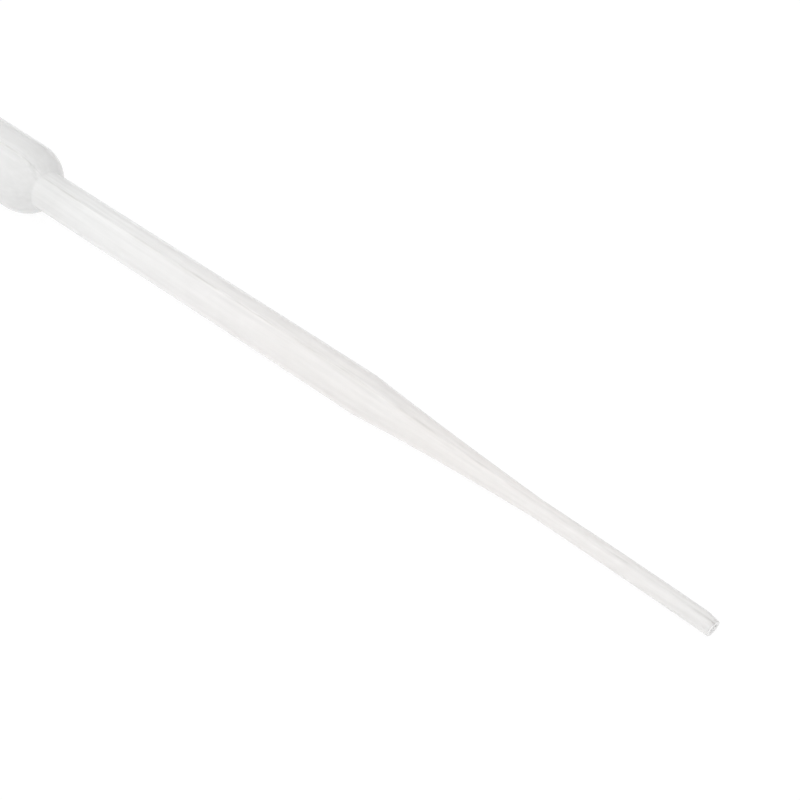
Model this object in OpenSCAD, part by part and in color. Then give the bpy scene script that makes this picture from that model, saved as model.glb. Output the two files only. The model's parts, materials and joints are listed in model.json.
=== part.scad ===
// Plastic dropper pipette, blow-moulded in one hollow piece: a fine open tip, a
// taper, a straight stem and a squeeze bulb with a pinched-off end.
// Millimetres, +Z up. The pipette lies as it comes to rest, on the front of its
// bulb and the lower edge of its tip, with the tip towards +X. The origin is on
// the resting surface, under the middle of the pipette's length.

/* [Tip] */
// Outside diameter of the fine tip
tip_od = 2.55; // [2.2:0.05:3.4]
// Wall of the fine tip
tip_wall = 0.55; // [0.35:0.05:0.8]
// Length of the straight part of the tip
tip_len = 28; // [12:1:50]

/* [Taper] */
// Length over which the tip widens into the stem
taper_len = 30.5; // [20:0.5:50]
// How far the taper's curve is pulled in from a straight cone
taper_hollow = 0.4; // [0:0.05:0.6]
// Length of the soft bend where the taper meets the stem
taper_blend = 1; // [0.5:0.5:8]

/* [Stem] */
// Outside diameter of the stem
stem_od = 6.2; // [5:0.1:8]
// Wall of the stem
stem_wall = 0.5; // [0.35:0.05:0.9]
// Length of the straight part of the stem
stem_len = 66; // [30:0.5:120]

/* [Bulb] */
// Outside diameter of the squeeze bulb
bulb_od = 11.3; // [9.5:0.1:15]
// Wall of the bulb
bulb_wall = 0.35; // [0.25:0.05:0.6]
// Length of the bulb, from the neck to the top of its domed end
bulb_len = 37.5; // [26:0.5:60]
// Radius of the shoulder's outside curve
shoulder_r = 6.5; // [5:0.5:10]
// Radius of the corner between the stem and the shoulder
neck_fillet = 0.5; // [0.2:0.1:1.5]
// Depth of the domed end
dome_depth = 4.8; // [3:0.1:6.5]

/* [Pinch-off] */
// Width of the pinched seam across the domed end
pinch_w = 7; // [4:0.5:9]
// How far the pinched seam stands out of the dome
pinch_h = 0.35; // [0.2:0.05:0.6]
// Thickness of the pinched seam
pinch_t = 0.6; // [0.4:0.1:1]
// Turn of the mould's parting plane from upright
seam_roll = 14; // [0:1:90]

/* [Hidden] */
$fn = 96;
// Steps in which each curve of the outline is drawn
taper_steps = 14;
fillet_steps = 4;
shoulder_steps = 8;
dome_steps = 12;
// How far the hollow is drawn past the open end of the tip
overcut = 1;

tip_r = tip_od / 2;
stem_r = stem_od / 2;
bulb_r = bulb_od / 2;

// Places along the axis, measured from the open end of the tip
taper_end = tip_len + taper_len;
neck = taper_end + stem_len;
bulb_end = neck + bulb_len;
bulb_front = neck + shoulder_run(stem_r, bulb_r, neck_fillet, shoulder_r);

// The inside follows the outside at each section's own wall
bore_r = tip_r - tip_wall;
stem_bore_r = stem_r - stem_wall;
bulb_bore_r = bulb_r - bulb_wall;
shoulder_bore_r = shoulder_r - bulb_wall;
fillet_bore_r = neck_fillet + stem_wall;

// Length from the stem's end to the bulb's full width, through a hollow fillet
// and a round shoulder that meet without a corner
function shoulder_run(stem, bulb, fillet, shoulder) =
    sqrt(pow(fillet + shoulder, 2) - pow(fillet + shoulder - (bulb - stem), 2));

// One point of a cubic Bezier curve
function bezier(p, t) =
    pow(1 - t, 3) * p[0] + 3 * pow(1 - t, 2) * t * p[1]
    + 3 * (1 - t) * pow(t, 2) * p[2] + pow(t, 3) * p[3];

// Taper from the tip to the stem: the handle two thirds of the way up the
// straight cone is pulled in, and the last one lies in line with the stem
function taper(tip, stem) =
    let (
        from = [tip, tip_len],
        to = [stem, taper_end],
        handle = from + (to - from) * 2 / 3 - [taper_hollow, 0],
        bend = to - [0, taper_blend]
    )
    [for (i = [0 : taper_steps]) bezier([from, handle, bend, to], i / taper_steps)];

// Neck and shoulder: a fillet that leaves the stem, then the shoulder's curve,
// which runs into the bulb at its front
function shoulder(stem, bulb, fillet, round) =
    let (
        start = bulb_front - shoulder_run(stem, bulb, fillet, round),
        slope = acos(1 - (bulb - stem) / (fillet + round))
    )
    concat(
        [for (i = [0 : fillet_steps]) let (a = slope * i / fillet_steps)
            [stem + fillet * (1 - cos(a)), start + fillet * sin(a)]],
        [for (i = [1 : shoulder_steps]) let (a = slope * (1 - i / shoulder_steps))
            [bulb - round * (1 - cos(a)), bulb_front - round * sin(a)]]
    );

// Domed end, half an ellipse that closes on the axis
function dome(bulb, depth, end) =
    [for (i = [0 : dome_steps]) let (a = 90 * i / dome_steps)
        [bulb * cos(a), end - depth * (1 - sin(a))]];

// Half section of the pipette, from the axis at the tip to the top of the dome
function outline(tip, stem, bulb, fillet, round, depth, start, end) =
    concat([[0, start], [tip, start]], taper(tip, stem), shoulder(stem, bulb, fillet, round),
        dome(bulb, depth, end));

module outside() {
    rotate_extrude()
        polygon(outline(tip_r, stem_r, bulb_r, neck_fillet, shoulder_r, dome_depth, 0, bulb_end));
}

module hollow() {
    rotate_extrude()
        polygon(outline(bore_r, stem_bore_r, bulb_bore_r, fillet_bore_r, shoulder_bore_r,
            dome_depth - bulb_wall, -overcut, bulb_end - bulb_wall));
}

// The pinched seam is a low round-topped fin that runs out into the dome
dome_at_pinch = bulb_end - dome_depth * (1 - sqrt(1 - pow(pinch_w / bulb_od, 2)));
pinch_rise = bulb_end + pinch_h - dome_at_pinch;
pinch_r = (pow(pinch_w / 2, 2) + pow(pinch_rise, 2)) / (2 * pinch_rise);
pinch_centre = bulb_end + pinch_h - pinch_r;

module pinched_seam() {
    rotate([90, 0, 0])
        linear_extrude(height = pinch_t, center = true)
            intersection() {
                translate([0, pinch_centre])
                    circle(r = pinch_r);
                translate([-pinch_w / 2, dome_at_pinch - bulb_wall])
                    square([pinch_w, pinch_rise + 2 * bulb_wall]);
            }
}

// Tilt at which the tip's lower edge and the shoulder both touch the surface: the
// line from that edge that just touches the shoulder's curve
shoulder_depth = bulb_r - shoulder_r - tip_r;
tilt = asin(shoulder_r / norm([bulb_front, shoulder_depth])) + atan(shoulder_depth / bulb_front);

// Ends of the lying pipette along X, before it is centred
tip_reach = tip_r * sin(tilt);
pinch_reach = pinch_centre * cos(tilt)
    + pinch_r * norm([cos(tilt), sin(tilt) * cos(seam_roll)])
    + pinch_t / 2 * sin(tilt) * sin(seam_roll);

module pipette() {
    color("whitesmoke", 0.7)
        translate([(pinch_reach - tip_reach) / 2, 0, tip_r * cos(tilt)])
            rotate([0, tilt - 90, 0])
                rotate([0, 0, -seam_roll])
                    difference() {
                        union() {
                            outside();
                            pinched_seam();
                        }
                        hollow();
                    }
}

pipette();
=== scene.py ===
"""Looks of a plastic dropper pipette: one hollow blow-moulded piece of natural polyethylene.

The wall is one closed skin. A half section, drawn from the same sizes as the CAD part, is
spun round the axis by a Geometry Nodes tree. The tree also raises the mould's parting line
and the pinched seam, lets the inside of the blown wall wander a little, cuts the tip out of
square, presses one side of it in and gives the whole body a slight bow.
Metres, +Z up. Distances "along" run up the axis from the open end of the tip, and turns
round the axis run from upright towards +Y.
"""
import json
import math

import bpy
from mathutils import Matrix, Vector


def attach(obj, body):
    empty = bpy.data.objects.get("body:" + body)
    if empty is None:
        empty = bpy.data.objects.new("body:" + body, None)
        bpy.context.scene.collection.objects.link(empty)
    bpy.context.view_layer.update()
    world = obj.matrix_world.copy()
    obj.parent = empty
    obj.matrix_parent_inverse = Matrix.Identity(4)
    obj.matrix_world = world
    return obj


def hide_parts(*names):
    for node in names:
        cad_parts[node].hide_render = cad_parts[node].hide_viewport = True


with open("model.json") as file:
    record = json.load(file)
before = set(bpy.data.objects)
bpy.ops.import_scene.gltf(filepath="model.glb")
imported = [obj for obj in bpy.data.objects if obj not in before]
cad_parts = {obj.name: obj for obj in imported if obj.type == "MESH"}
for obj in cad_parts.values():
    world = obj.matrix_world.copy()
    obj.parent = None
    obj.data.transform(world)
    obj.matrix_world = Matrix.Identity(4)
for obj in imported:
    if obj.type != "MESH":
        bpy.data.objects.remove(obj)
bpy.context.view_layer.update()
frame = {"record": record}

MM = 0.001

# Sizes that the mounts of the record carry
MOUNTS = {mount["name"]: mount for mount in frame["record"]["mounts"]}
TIP, BORE, STEM = MOUNTS["tip_outside"], MOUNTS["tip_bore"], MOUNTS["stem"]
TIP_R = TIP["dims"]["r_mm"] * MM
BORE_R = BORE["dims"]["r_mm"] * MM
TIP_LEN = TIP["dims"]["length_mm"] * MM
STEM_R = STEM["dims"]["r_mm"] * MM
STEM_LEN = STEM["dims"]["length_mm"] * MM

# Sizes of the part that no mount carries
TAPER_LEN = 30.5 * MM
TAPER_HOLLOW = 0.4 * MM
TAPER_BLEND = 1 * MM
STEM_WALL = 0.5 * MM
BULB_R = 5.65 * MM
BULB_WALL = 0.35 * MM
BULB_LEN = 37.5 * MM
SHOULDER_R = 6.5 * MM
NECK_FILLET = 0.5 * MM
DOME_DEPTH = 4.8 * MM
PINCH_W = 7 * MM
PINCH_H = 0.35 * MM
PINCH_T = 0.6 * MM
SEAM_ROLL = math.radians(14)

# What only the finish has, from here to the pinched seam. The softened edges of the tip
RIM_ROUND = 0.06 * MM

# The parting line. It drifts from its plane, and the wall is streaky in a zone round it
LINE_HEIGHT = 0.09 * MM
LINE_WIDTH = 0.15 * MM
LINE_ZONE = 1.1 * MM
LINE_DRIFT = 0.12 * MM
DRIFT_SCALE = 90.0

# The wandering inside of the wall, in streaks that are drawn out along the axis
WALL_WANDER = 0.03 * MM
WANDER_SCALE = 420.0
WANDER_STRETCH = 0.12

# The cut at the tip. It leaves the side at CUT_TURN the shortest, its slant dies out over
# CUT_REACH, and the blade has pressed in the side at PRESS_TURN, the bore only in part
CUT_SLANT = math.radians(8)
CUT_TURN = math.radians(-169)
CUT_REACH = 4 * MM
CUT_PRESS = 0.33 * MM
PRESS_TURN = math.radians(50)
PRESS_REACH = 1.0 * MM
PRESS_SPARED = 0.5

# The bow of the body between tip and neck, and how far it leans towards the tip
BOW = 0.52 * MM
BOW_SKEW = 0.63

# The flanks of the pinched seam, as shares of its thickness from its middle plane
FIN_TOP = 0.36
FIN_FOOT = 0.5

# The spun mesh
SIDES = 150
SIDE_CROWDING = 0.4
SEED = 3.0
MERGE_DISTANCE = 0.0005 * MM

# Natural polyethylene. The tints run up the axis, each at its millimetres from the open
# end of the tip
TINTS = (
    (0, (0.88, 0.87, 0.86, 1)),
    (20, (0.915, 0.885, 0.87, 1)),
    (40, (0.965, 0.905, 0.885, 1)),
    (75, (0.97, 0.92, 0.9, 1)),
    (110, (0.97, 0.965, 0.955, 1)),
    (122, (0.87, 0.87, 0.865, 1)),
    (162, (0.91, 0.91, 0.905, 1)),
)
MILKY_COLOUR = (0.98, 0.975, 0.97, 1)
CLOUD_MILK = 0.3

# Painted shade along the parting line: the shaded side of its ridge is painted in as a darker
# colour, in dashes where their noise is above the start
PAINTED_SHADE_COLOUR = (0.6, 0.58, 0.56, 1)
PAINTED_SHADE_SHARE = 0.5
DASH_START = 0.45
DASH_FULL = 0.65

# Features to a metre, and how far the long ones are drawn out along the axis
CLOUD_SCALE = 160
GRAIN_SCALE = 3200
STREAK_SCALE = 1500
STREAK_STRETCH = 0.05
DASH_SCALE = 1200
DASH_STRETCH = 0.15

# The body is how much a wall hides of what is behind it, with 1 for all of it. It grows
# where the wall is seen edge-on
TIP_BODY = 0.60
STEM_BODY = 0.56
BULB_BODY = 0.56
EDGE_BODY = 0.45
EDGE_POWER = 3
END_BODY = 1.0
INSIDE_BODY = 0.12
CLOUD_BODY = 0.06
STREAK_BODY = 0.08
ZONE_BODY = 0.2

# Light in the wall and on its skin
SCATTER = 0.6
SCATTER_DEPTH = 0.5 * MM
SKIN_ROUGH = 0.02
CLOUD_ROUGH = 0.08
STREAK_ROUGH = 0.03
END_ROUGH = 0.3
SKIN_IOR = 1.51
GLOSS = 0.5
SKIN_BUMP = 0.5
BUMP_HEIGHT = 0.03 * MM
GRAIN_SHARE = 0.35

# The studio: 1 is the brightness of a white surface, and angles run from the zenith
# towards +Y, which is the back
FLOOR_HALF = 0.6
FLOOR_ALBEDO = 0.98
FLOOR_GLOW = 0.93
SHADOW_SHARE = 0.1
WORLD_LEVEL = 0.36
FRONT_LEVEL = 0.75
BACK_LEVEL = 0.33
FRONT_ANGLE = math.radians(-88)
SPLIT_ANGLE = math.radians(16.5)
BACK_ANGLE = math.radians(65)
PANEL_DISTANCE = 0.6
PANEL_LENGTH = 2.0

CAMERA_LENS = 80
CAMERA_SENSOR = 36
CAMERA_AZIMUTH = math.radians(42.643)
CAMERA_ELEVATION = math.radians(41.768)
CAMERA_AIM = Vector((24.663, 5.706, 0)) * MM
CAMERA_DISTANCE = 244.655 * MM

# Places along the axis
TAPER_END = TIP_LEN + TAPER_LEN
NECK = TAPER_END + STEM_LEN
BULB_END = NECK + BULB_LEN

# Where the axis lies: the open end of the tip, and the tilt that lowers the tip
AXIS = Vector(TIP["axis"])
TIP_END = Vector(TIP["pos_m"]) + AXIS * TIP_LEN / 2
TILT = math.asin(-AXIS.z)


# ---------------------------------------------------------------- node helpers

class Socket:
    """A node's output, so that node maths can be written as a Python expression."""

    def __init__(self, nodes, output):
        self.nodes, self.output = nodes, output

    def maths(self, operation, *others):
        """A Math node on this value, and on others if the operation takes them."""
        return self.nodes.maths(operation, self, *others)

    def __add__(self, other):
        return self.nodes.maths("ADD", self, other)

    def __radd__(self, other):
        return self.nodes.maths("ADD", other, self)

    def __sub__(self, other):
        return self.nodes.maths("SUBTRACT", self, other)

    def __rsub__(self, other):
        return self.nodes.maths("SUBTRACT", other, self)

    def __mul__(self, other):
        return self.nodes.maths("MULTIPLY", self, other)

    def __rmul__(self, other):
        return self.nodes.maths("MULTIPLY", other, self)

    def __truediv__(self, other):
        return self.nodes.maths("DIVIDE", self, other)

    def __pow__(self, other):
        return self.nodes.maths("POWER", self, other)


class Nodes:
    """A node tree and the one way in which nodes are added to it."""

    def __init__(self, tree):
        self.tree = tree

    def maths(self, operation, *values):
        """A Math node on two values, or on one."""
        return self.add("ShaderNodeMath", {"operation": operation}, dict(enumerate(values)))

    def add(self, kind, settings=None, sockets=None, output=0):
        """A new node: its settings first, then the values or links of its inputs."""
        node = self.tree.nodes.new(kind)
        for name, value in (settings or {}).items():
            setattr(node, name, value)
        for key, value in (sockets or {}).items():
            if isinstance(value, Socket):
                self.tree.links.new(value.output, node.inputs[key])
            else:
                node.inputs[key].default_value = value
        outputs = [o for o in node.outputs if o.enabled]
        return Socket(self, node.outputs[output] if isinstance(output, str) else outputs[output])

    def other(self, socket, output):
        """Another output of the node that a socket comes from."""
        return Socket(self, socket.output.node.outputs[output])

    def split(self, vector):
        """The three numbers of a vector."""
        x = self.add("ShaderNodeSeparateXYZ", None, {0: vector}, "X")
        return x, self.other(x, "Y"), self.other(x, "Z")

    def join(self, x, y, z):
        """A vector of three numbers."""
        return self.add("ShaderNodeCombineXYZ", None, {"X": x, "Y": y, "Z": z})

    def noise(self, vector, scale, detail):
        """Soft noise between 0 and 1, with so many features to a metre."""
        return self.add("ShaderNodeTexNoise", None,
                        {"Vector": vector, "Scale": scale, "Detail": detail})

    def ramp(self, value, start, end, low, high):
        """A number that goes evenly from low to high while the value goes from start to end."""
        return self.add("ShaderNodeMapRange", None,
                        {"Value": value, "From Min": start, "From Max": end,
                         "To Min": low, "To Max": high}, "Result")

    def bell(self, value, width):
        """1 where the value is 0, and falling away over a width to each side."""
        return ((value / width) ** 2 * -1).maths("EXPONENT")

    def tint(self, value, stops):
        """A colour that runs through stops of (value, colour)."""
        low, high = stops[0][0], stops[-1][0]
        ramp = self.add("ShaderNodeValToRGB", None, {"Fac": self.ramp(value, low, high, 0, 1)},
                        "Color")
        elements = ramp.output.node.color_ramp.elements
        for place, colour in stops[1:-1]:
            elements.new((place - low) / (high - low)).color = colour
        elements[0].color = stops[0][1]
        elements[-1].color = stops[-1][1]
        return ramp

    def seen(self, *kinds):
        """1 for a ray of the named kinds, such as Camera or Glossy, and 0 for any other."""
        rays = self.add("ShaderNodeLightPath")
        total = sum(self.other(rays, f"Is {kind} Ray") for kind in kinds)
        return total.maths("MINIMUM", 1)

    def end(self, kind, sockets):
        """The tree's own output node, cleared of any other."""
        for node in [n for n in self.tree.nodes if n.bl_idname == kind]:
            self.tree.nodes.remove(node)
        node = self.tree.nodes.new(kind)
        for key, value in sockets.items():
            self.tree.links.new(value.output, node.inputs[key])


# ---------------------------------------------------------------- the half section

def bezier(points, t):
    """A point of a cubic Bezier curve."""
    weights = ((1 - t) ** 3, 3 * (1 - t) ** 2 * t, 3 * (1 - t) * t ** 2, t ** 3)
    return tuple(sum(w * p[i] for w, p in zip(weights, points)) for i in (0, 1))


def straight(start, end, spacing=1.4 * MM):
    """Points from start up to but not including end, about a spacing apart."""
    count = max(1, round(math.dist(start, end) / spacing))
    return [tuple(a + (b - a) * i / count for a, b in zip(start, end)) for i in range(count)]


def taper(tip, stem, steps=36):
    """The taper from the tip to the stem, without its last point."""
    start, end = (tip, TIP_LEN), (stem, TAPER_END)
    handle = (tip + (stem - tip) * 2 / 3 - TAPER_HOLLOW, TIP_LEN + TAPER_LEN * 2 / 3)
    bend = (stem, TAPER_END - TAPER_BLEND)
    return [bezier((start, handle, bend, end), i / steps) for i in range(steps)]


def shoulder_run(stem, bulb, fillet, shoulder):
    """Length from the end of the stem to the full width of the bulb."""
    return math.sqrt((fillet + shoulder) ** 2 - (fillet + shoulder - (bulb - stem)) ** 2)


BULB_FRONT = NECK + shoulder_run(STEM_R, BULB_R, NECK_FILLET, SHOULDER_R)


def neck_and_shoulder(stem, bulb, fillet, shoulder, fillet_steps=10, shoulder_steps=26):
    """The fillet at the neck and the round of the shoulder, without the bulb's first point."""
    start = BULB_FRONT - shoulder_run(stem, bulb, fillet, shoulder)
    slope = math.acos(1 - (bulb - stem) / (fillet + shoulder))
    rises = [slope * i / fillet_steps for i in range(fillet_steps)]
    falls = [slope * (1 - i / shoulder_steps) for i in range(shoulder_steps)]
    return ([(stem + fillet * (1 - math.cos(a)), start + fillet * math.sin(a)) for a in rises]
            + [(bulb - shoulder * (1 - math.cos(a)), BULB_FRONT - shoulder * math.sin(a))
               for a in falls])


def dome(bulb, depth, end, steps=44):
    """The domed end, a quarter of an ellipse that closes on the axis."""
    turns = [math.pi / 2 * i / steps for i in range(steps)]
    return [(bulb * math.cos(a), end - depth * (1 - math.sin(a))) for a in turns] + [(0, end)]


def wall_line(tip, stem, bulb, fillet, shoulder, depth, end):
    """One side of the wall, from the rounded rim of the tip to the top of the dome."""
    neck_curve = neck_and_shoulder(stem, bulb, fillet, shoulder)
    return (straight((tip, RIM_ROUND), (tip, TIP_LEN))
            + taper(tip, stem)
            + straight((stem, TAPER_END), neck_curve[0])
            + neck_curve
            + straight((bulb, BULB_FRONT), (bulb, end - depth))
            + dome(bulb, depth, end))


def rim(steps=5):
    """The end face of the tip and its two softened edges, from the outside to the bore."""
    turns = [math.pi / 2 * i / steps for i in range(1, steps + 1)]
    outer = [(TIP_R - RIM_ROUND * (1 - math.cos(a)), RIM_ROUND * (1 - math.sin(a)))
             for a in turns]
    inner = [(BORE_R + RIM_ROUND * (1 - math.sin(a)), RIM_ROUND * (1 - math.cos(a)))
             for a in turns]
    return outer + [(BORE_R + RIM_ROUND, 0)] + inner[:-1]


def half_section():
    """The wall's outside line, end face and inside line, each a list of (radius, along)."""
    inside = wall_line(BORE_R, STEM_R - STEM_WALL, BULB_R - BULB_WALL, NECK_FILLET + STEM_WALL,
                       SHOULDER_R - BULB_WALL, DOME_DEPTH - BULB_WALL, BULB_END - BULB_WALL)
    outside = wall_line(TIP_R, STEM_R, BULB_R, NECK_FILLET, SHOULDER_R, DOME_DEPTH, BULB_END)
    return outside[::-1], rim(), inside


def facing(chain):
    """The direction in which each point of a chain faces, away from the wall."""
    directions = []
    for i in range(len(chain)):
        before, after = chain[max(i - 1, 0)], chain[min(i + 1, len(chain) - 1)]
        step = Vector((after[0] - before[0], after[1] - before[1])).normalized()
        directions.append((-step.y, 0, step.x))
    return directions


def section_object():
    """The half section as an object of loose points, which the spinning tree reads. The
    end face takes in the first point of the bore, so that the bore's mouth is as solid."""
    outside, end_face, inside = half_section()
    chain = outside + end_face + inside
    rim_start, inside_start = len(outside), len(outside) + len(end_face)
    places = range(len(chain))
    shares = {
        "outside": [float(i < rim_start) for i in places],
        "inside": [float(i >= inside_start) for i in places],
        "end face": [float(rim_start <= i <= inside_start) for i in places],
    }
    mesh = bpy.data.meshes.new("half section")
    mesh.from_pydata([(radius, 0, along) for radius, along in chain], [], [])
    for name, share in shares.items():
        mesh.attributes.new(name, "FLOAT", "POINT").data.foreach_set("value", share)
    ways = mesh.attributes.new("facing", "FLOAT_VECTOR", "POINT")
    ways.data.foreach_set("vector", [x for way in facing(chain) for x in way])
    piece = bpy.data.objects.new("pipette_wall", mesh)
    bpy.context.collection.objects.link(piece)
    return piece


# ---------------------------------------------------------------- the wall

# The pinched seam is a low round-topped fin that runs out into the dome
DOME_AT_PINCH = BULB_END - DOME_DEPTH * (1 - math.sqrt(1 - (PINCH_W / 2 / BULB_R) ** 2))
PINCH_RISE = BULB_END + PINCH_H - DOME_AT_PINCH
PINCH_R = ((PINCH_W / 2) ** 2 + PINCH_RISE ** 2) / (2 * PINCH_RISE)
PINCH_CENTRE = BULB_END + PINCH_H - PINCH_R

WALL_INPUTS = {
    "Sides": ("NodeSocketInt", SIDES),
    "Seam roll": ("NodeSocketFloat", SEAM_ROLL),
    "Line height": ("NodeSocketFloat", LINE_HEIGHT),
    "Line width": ("NodeSocketFloat", LINE_WIDTH),
    "Line drift": ("NodeSocketFloat", LINE_DRIFT),
    "Pinch thickness": ("NodeSocketFloat", PINCH_T),
    "Wall wander": ("NodeSocketFloat", WALL_WANDER),
    "Cut slant": ("NodeSocketFloat", CUT_SLANT),
    "Cut turn": ("NodeSocketFloat", CUT_TURN),
    "Cut press": ("NodeSocketFloat", CUT_PRESS),
    "Press turn": ("NodeSocketFloat", PRESS_TURN),
    "Bow": ("NodeSocketFloat", BOW),
    "Seed": ("NodeSocketFloat", SEED),
}


def wall_tree(finish):
    """Spins the half section round the axis and adds what follows the mould's two halves."""
    tree = bpy.data.node_groups.new("spun wall", "GeometryNodeTree")
    tree.is_modifier = True
    tree.interface.new_socket("Half section", in_out="INPUT", socket_type="NodeSocketGeometry")
    for name, (kind, _) in WALL_INPUTS.items():
        tree.interface.new_socket(name, in_out="INPUT", socket_type=kind)
    tree.interface.new_socket("Wall", in_out="OUTPUT", socket_type="NodeSocketGeometry")

    nodes = Nodes(tree)
    section = nodes.add("NodeGroupInput", output="Half section")
    (sides, seam_roll, line_height, line_width, line_drift, pinch_t, wander,
     cut_slant, cut_turn, cut_press, press_turn, bow, seed) = [
        nodes.other(section, name) for name in WALL_INPUTS]

    # A grid with a row for each point of the section and a column for each side
    rows = nodes.add("GeometryNodeAttributeDomainSize", {"component": "MESH"},
                     {"Geometry": section}, "Point Count")
    columns = sides + 1
    grid = nodes.add("GeometryNodeMeshGrid", None, {"Vertices X": rows, "Vertices Y": columns})
    index = nodes.add("GeometryNodeInputIndex")
    row = (index / columns).maths("FLOOR")
    turn = (index - row * columns) / sides

    def of_section(value, kind):
        """What a field is at the point of the section that this row is spun from."""
        return nodes.add("GeometryNodeSampleIndex", {"data_type": kind},
                         {"Geometry": section, "Value": value, "Index": row})

    def share(name):
        """A row's share of the outside, the inside or the end face."""
        stored = nodes.add("GeometryNodeInputNamedAttribute", {"data_type": "FLOAT"},
                           {"Name": name})
        return of_section(stored, "FLOAT")

    radius, _, along = nodes.split(
        of_section(nodes.add("GeometryNodeInputPosition"), "FLOAT_VECTOR"))
    stored_facing = nodes.add("GeometryNodeInputNamedAttribute", {"data_type": "FLOAT_VECTOR"},
                              {"Name": "facing"})
    out_across, _, out_along = nodes.split(of_section(stored_facing, "FLOAT_VECTOR"))

    # The sides crowd together at the two parting lines, where the shape is finest
    angle = 2 * math.pi * turn - SIDE_CROWDING * (4 * math.pi * turn).maths("SINE")
    from_line = radius * angle.maths("SINE")
    along_seam = radius * angle.maths("COSINE")

    # The parting line is a fine ridge that drifts a little, lower on the thinner parts
    drift = nodes.add("ShaderNodeTexNoise", {"noise_dimensions": "1D"},
                      {"W": along + seed, "Scale": DRIFT_SCALE, "Detail": 3.0})
    line = share("outside") * nodes.bell(from_line + line_drift * (drift - 0.5), line_width)
    rise = line * line_height * (radius / BULB_R).maths("SQRT")

    # The inside of a blown wall wanders, mostly in long streaks
    streaks = nodes.join(along_seam, from_line, along * WANDER_STRETCH)
    noise = nodes.add("ShaderNodeTexNoise", {"noise_dimensions": "4D"},
                      {"Vector": streaks, "W": seed, "Scale": WANDER_SCALE, "Detail": 1.0})
    rise = rise + share("inside") * wander * (noise - 0.5) * (radius / BULB_R)

    # The pinched seam lifts the dome along the parting plane
    under_arc = (PINCH_R ** 2 - along_seam * along_seam).maths("MAXIMUM", 0)
    fin_top = PINCH_CENTRE + under_arc.maths("SQRT")
    fin_share = nodes.add("ShaderNodeMapRange", {"interpolation_type": "SMOOTHSTEP"},
                          {"Value": from_line.maths("ABSOLUTE") / pinch_t,
                           "From Min": FIN_TOP, "From Max": FIN_FOOT,
                           "To Min": 1.0, "To Max": 0.0}, "Result")
    on_dome = along.maths("GREATER_THAN", BULB_END - DOME_DEPTH)
    lift = (fin_top - along).maths("MAXIMUM", 0) * fin_share * on_dome * share("outside")

    place_angle = angle - seam_roll

    # The tip is cut off a little out of square
    cut = cut_slant.maths("TANGENT") * (TIP_R + radius * (place_angle - cut_turn).maths("COSINE"))
    cut = cut * (1 - along / CUT_REACH).maths("MAXIMUM", 0)

    # The blade has pressed one side of the tip in
    press = (place_angle - press_turn).maths("COSINE").maths("MAXIMUM", 0)
    press = cut_press * press * nodes.bell(along, PRESS_REACH)
    press = press * (1 - PRESS_SPARED * share("inside"))

    # The tip, taper and stem are bowed a little to one side, most of it near the taper
    reach = (along / NECK).maths("MINIMUM", 1)
    sideways = 4 * bow * reach * (1 - reach) * (1 + BOW_SKEW * (1 - 2 * reach))

    place_radius = radius + rise * out_across - press
    place = nodes.join(place_radius * place_angle.maths("COSINE"),
                       place_radius * place_angle.maths("SINE") + sideways,
                       along + rise * out_along + lift + cut)
    spun = nodes.add("GeometryNodeSetPosition", None, {"Geometry": grid, "Position": place})
    for name, value in (("inside", share("inside")), ("end face", share("end face")),
                        ("parting line", line), ("from line", from_line)):
        spun = nodes.add("GeometryNodeStoreNamedAttribute", {"data_type": "FLOAT"},
                         {"Geometry": spun, "Name": name, "Value": value})
    closed = nodes.add("GeometryNodeMergeByDistance", None,
                       {"Geometry": spun, "Distance": MERGE_DISTANCE})
    smooth = nodes.add("GeometryNodeSetShadeSmooth", None, {"Geometry": closed})
    laid = nodes.add("GeometryNodeTransform", None,
                     {"Geometry": smooth, "Translation": TIP_END,
                      "Rotation": (0, TILT - math.pi / 2, 0)})
    real = nodes.add("GeometryNodeRealizeInstances", None, {"Geometry": laid})
    finished = nodes.add("GeometryNodeSetMaterial", None,
                         {"Geometry": real, "Material": finish})
    nodes.end("NodeGroupOutput", {"Wall": finished})
    return tree


def pipette_wall(finish):
    """The whole pipette as one plain mesh, in its place on the CAD body."""
    piece = section_object()
    spin = piece.modifiers.new("spin", "NODES")
    spin.node_group = wall_tree(finish)
    for socket in spin.node_group.interface.items_tree:
        if socket.in_out == "INPUT" and socket.name in WALL_INPUTS:
            spin[socket.identifier] = WALL_INPUTS[socket.name][1]
    evaluated = piece.evaluated_get(bpy.context.evaluated_depsgraph_get())
    mesh = bpy.data.meshes.new_from_object(evaluated)
    mesh.materials.pop(index=0)
    piece.modifiers.remove(spin)
    piece.data = mesh
    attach(piece, "root")
    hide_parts("pipette")
    return piece


# ---------------------------------------------------------------- the finish

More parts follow.
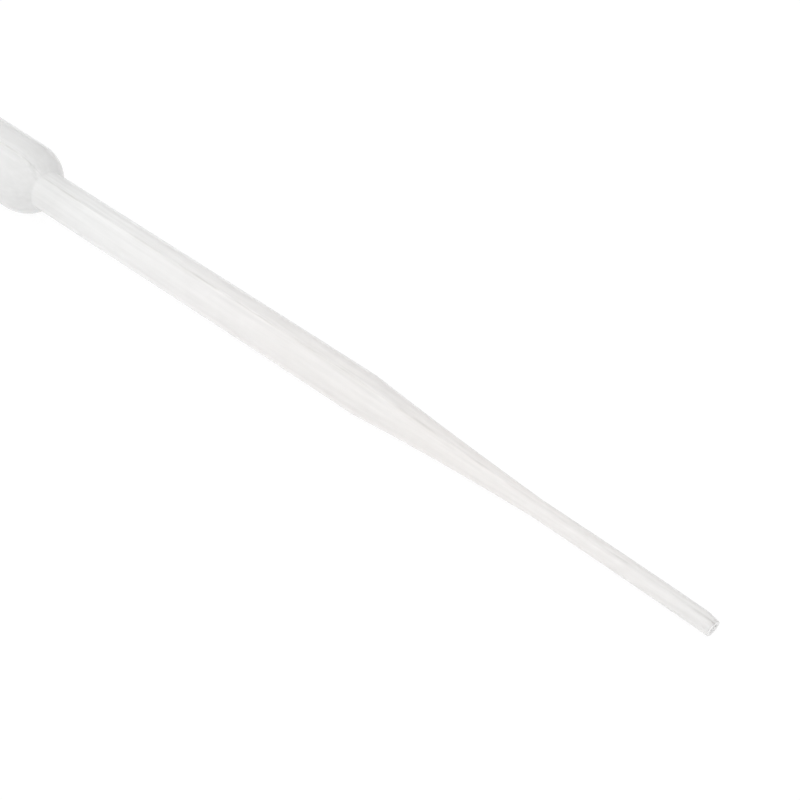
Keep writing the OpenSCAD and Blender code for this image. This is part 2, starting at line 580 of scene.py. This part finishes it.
def polyethylene():
    """Natural polyethylene: a milky see-through wall, denser where it is seen edge-on, with
    a glossy skin that carries the die's long lines and the mould's fine grain."""
    material = bpy.data.materials.new("natural polyethylene")
    material.use_nodes = True
    nodes = Nodes(material.node_tree)
    nodes.tree.nodes.clear()

    # Places measured from the open end of the tip, with Z up the axis
    here = nodes.add("ShaderNodeTexCoord", None, None, "Object")
    place = nodes.add("ShaderNodeMapping", {"vector_type": "TEXTURE"},
                      {"Vector": here, "Location": TIP_END,
                       "Rotation": (0, TILT - math.pi / 2, 0)})
    streak_place, dash_place = [
        nodes.add("ShaderNodeVectorMath", {"operation": "MULTIPLY"},
                  {0: place, 1: (1, 1, stretch)})
        for stretch in (STREAK_STRETCH, DASH_STRETCH)]
    _, _, along = nodes.split(place)
    inside, end_face, line, from_line = [
        nodes.add("ShaderNodeAttribute", {"attribute_name": name}, None, "Fac")
        for name in ("inside", "end face", "parting line", "from line")]

    clouds = nodes.noise(place, CLOUD_SCALE, 3) - 0.5
    grain = nodes.noise(place, GRAIN_SCALE, 2)
    streaks = nodes.noise(streak_place, STREAK_SCALE, 3)
    shade_dashes = nodes.ramp(nodes.noise(dash_place, DASH_SCALE, 3), DASH_START, DASH_FULL, 0.0, 1.0)

    tint = nodes.tint(along, [(place_mm * MM, colour) for place_mm, colour in TINTS])
    milky = nodes.add("ShaderNodeMix", {"data_type": "RGBA"},
                      {"Factor": CLOUD_MILK * (clouds + 0.5) + (1 - CLOUD_MILK) * inside,
                       "A": tint, "B": MILKY_COLOUR}, "Result")
    # Painted shade: the parting line's colour is darkened in dashes, in place of the shade on one
    # side of its ridge
    colour = nodes.add("ShaderNodeMix", {"data_type": "RGBA"},
                       {"Factor": PAINTED_SHADE_SHARE * line * shade_dashes, "A": milky, "B": PAINTED_SHADE_COLOUR},
                       "Result")
    wall_body = nodes.ramp(along, TIP_LEN, TAPER_END, TIP_BODY, STEM_BODY) + nodes.ramp(
        along, NECK, BULB_FRONT, 0.0, BULB_BODY - STEM_BODY)
    streak_body = STREAK_BODY + ZONE_BODY * nodes.bell(from_line, LINE_ZONE)
    edge = nodes.add("ShaderNodeLayerWeight", None, {"Blend": 0.5}, "Facing")
    outside_body = (wall_body + EDGE_BODY * edge ** EDGE_POWER + CLOUD_BODY * clouds
                    + streak_body * (streaks - 0.5))
    wall = outside_body * (1 - inside) + INSIDE_BODY * inside
    body = wall + (END_BODY - wall) * end_face
    roughness = (SKIN_ROUGH + CLOUD_ROUGH * (clouds + 0.5) + STREAK_ROUGH * streaks
                 + END_ROUGH * end_face)
    bump = nodes.add("ShaderNodeBump", None,
                     {"Height": streaks + GRAIN_SHARE * grain, "Strength": SKIN_BUMP,
                      "Distance": BUMP_HEIGHT})
    skin = nodes.add("ShaderNodeBsdfPrincipled", None,
                     {"Base Color": colour, "Roughness": roughness, "Alpha": body,
                      "Normal": bump, "IOR": SKIN_IOR, "Specular IOR Level": GLOSS,
                      "Subsurface Weight": SCATTER, "Subsurface Radius": (1, 1, 1),
                      "Subsurface Scale": SCATTER_DEPTH})
    nodes.end("ShaderNodeOutputMaterial", {"Surface": skin})
    return material


# ---------------------------------------------------------------- the studio

def grey(level):
    """A neutral colour of an even level."""
    return (level, level, level, 1)


def floor():
    """A pale floor: plain white where it is seen, but for the object's soft shadow."""
    mesh = bpy.data.meshes.new("floor")
    turns = ((-1, -1), (1, -1), (1, 1), (-1, 1))
    mesh.from_pydata([(x * FLOOR_HALF, y * FLOOR_HALF, 0) for x, y in turns], [], [(0, 1, 2, 3)])
    material = bpy.data.materials.new("pale floor")
    material.use_nodes = True
    nodes = Nodes(material.node_tree)
    nodes.tree.nodes.clear()
    seen = nodes.seen("Camera", "Glossy", "Transmission")
    bare = nodes.add("ShaderNodeBsdfDiffuse", None, {"Color": grey(FLOOR_ALBEDO)})
    shadow = nodes.add("ShaderNodeBsdfDiffuse", None, {"Color": grey(SHADOW_SHARE)})
    glow = nodes.add("ShaderNodeEmission", None, {"Strength": FLOOR_GLOW})
    shown = nodes.add("ShaderNodeAddShader", None, {0: shadow, 1: glow})
    mixed = nodes.add("ShaderNodeMixShader", None, {0: seen, 1: bare, 2: shown})
    nodes.end("ShaderNodeOutputMaterial", {"Surface": mixed})
    mesh.materials.append(material)
    plane = bpy.data.objects.new("floor", mesh)
    bpy.context.collection.objects.link(plane)


def surroundings():
    """White where it is seen, and an even pale grey as a light."""
    world = bpy.data.worlds.new("studio")
    bpy.context.scene.world = world
    world.use_nodes = True
    nodes = Nodes(world.node_tree)
    nodes.tree.nodes.clear()
    seen = nodes.seen("Camera", "Glossy", "Transmission")
    light = nodes.add("ShaderNodeBackground", None,
                      {"Color": (1, 1, 1, 1), "Strength": WORLD_LEVEL + (1 - WORLD_LEVEL) * seen})
    nodes.end("ShaderNodeOutputWorld", {"Surface": light})


def softbox(name, place, aim, size, level):
    """A rectangular soft lamp. Its level is the brightness of its face, where 1 is white."""
    lamp = bpy.data.lights.new(name, "AREA")
    lamp.shape = "RECTANGLE"
    lamp.size, lamp.size_y = size
    lamp.energy = level * math.pi * size[0] * size[1]
    holder = bpy.data.objects.new(name, lamp)
    holder.location = place
    holder.rotation_euler = (Vector(aim) - Vector(place)).to_track_quat("-Z", "Y").to_euler()
    bpy.context.collection.objects.link(holder)


def sky_panel(name, back, front, level):
    """A long softbox along X that fills the sky between two angles."""
    ends = [Vector((0, math.sin(angle), math.cos(angle))) * PANEL_DISTANCE
            for angle in (back, front)]
    middle = (ends[0] + ends[1]) / 2
    softbox(name, middle, (0, 0, 0), (PANEL_LENGTH, (ends[0] - ends[1]).length), level)


def camera():
    """Looks down on the pipette, with its tip towards the lower right."""
    lens = bpy.data.cameras.new("camera")
    lens.lens, lens.sensor_width = CAMERA_LENS, CAMERA_SENSOR
    eye = bpy.data.objects.new("camera", lens)
    across, up = CAMERA_AZIMUTH, CAMERA_ELEVATION
    back = Vector((math.sin(across) * math.cos(up), -math.cos(across) * math.cos(up),
                   math.sin(up)))
    eye.location = CAMERA_AIM + back * CAMERA_DISTANCE
    eye.rotation_euler = back.to_track_quat("Z", "Y").to_euler()
    bpy.context.collection.objects.link(eye)
    bpy.context.scene.camera = eye


bpy.context.scene.view_settings.view_transform = "Standard"
pipette_wall(polyethylene())
floor()
surroundings()
sky_panel("front softbox", SPLIT_ANGLE, FRONT_ANGLE, FRONT_LEVEL)
sky_panel("back softbox", BACK_ANGLE, SPLIT_ANGLE, BACK_LEVEL)
camera()
